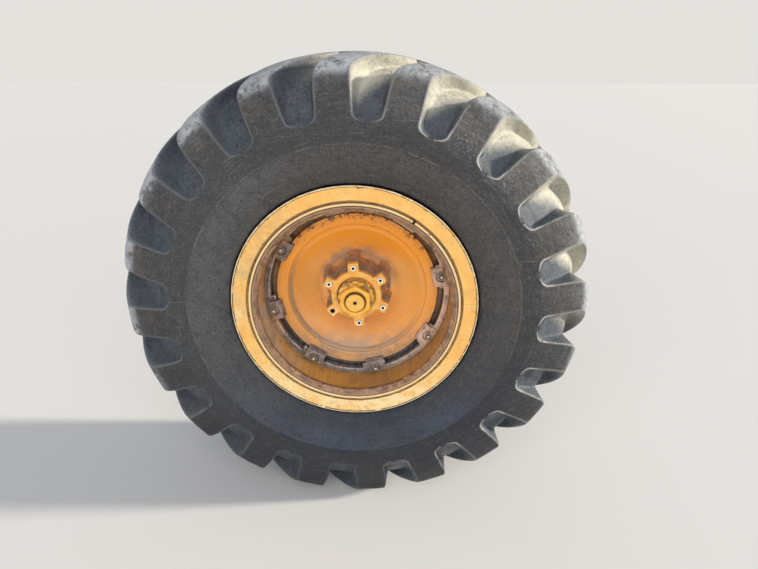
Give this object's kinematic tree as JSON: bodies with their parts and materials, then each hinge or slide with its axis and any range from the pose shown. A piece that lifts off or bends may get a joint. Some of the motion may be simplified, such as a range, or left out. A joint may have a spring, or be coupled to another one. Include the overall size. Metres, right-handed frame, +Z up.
{
  "type": "motor grader drive wheel on its axle housing",
  "caption": "Large lugged drive wheel with a clamped steel disc, six-eared hub and axle, turning in a flanged housing that bolts to the machine.",
  "frame": {"origin": "centre of the bolt circle on the housing's mounting face, on the axle", "axes": "+Y along the axle from the wheel into the machine, -Y toward the wheel's painted face, +Z up"},
  "size_m": [1.351, 0.6006, 1.351],
  "materials": {
    "tire": "worn, dusty",
    "rim_paint": "weathered yellow paint",
    "disc_paint": "dusty orange-yellow paint",
    "hub_paint": "thick yellow overspray",
    "rusty_steel": "rusted",
    "bare_steel": "bare, worn",
    "axle_steel": "machined, overpainted at its outer end",
    "brass": "dull"
  },
  "bodies": {
    "housing": {"axle_housing": "hub_paint", "inboard_bearing": "bare_steel", "seal_retainer": "rusty_steel", "retainer_screws": "rusty_steel"},
    "wheel": {"tire": "tire", "rim_base": "disc_paint", "outboard_flange": "rim_paint", "inboard_flange": "disc_paint", "bead_seat_band": "rim_paint", "lock_ring": "rim_paint", "mounting_ring": "rusty_steel", "rim_clamps": "rusty_steel", "clamp_studs": "rusty_steel", "wheel_disc": "disc_paint", "hub": "hub_paint", "ear_screws": "bare_steel", "scalloped_ring": "hub_paint", "hub_nut": "hub_paint", "axle_shaft": "axle_steel", "valve_stem": "brass"}
  },
  "joints": [
    {"name": "wheel_spin", "type": "hinge", "parent": "housing", "child": "wheel", "pos_m": [0, 0, 0], "axis": [0, 1, 0], "continuous": true}
  ]
}
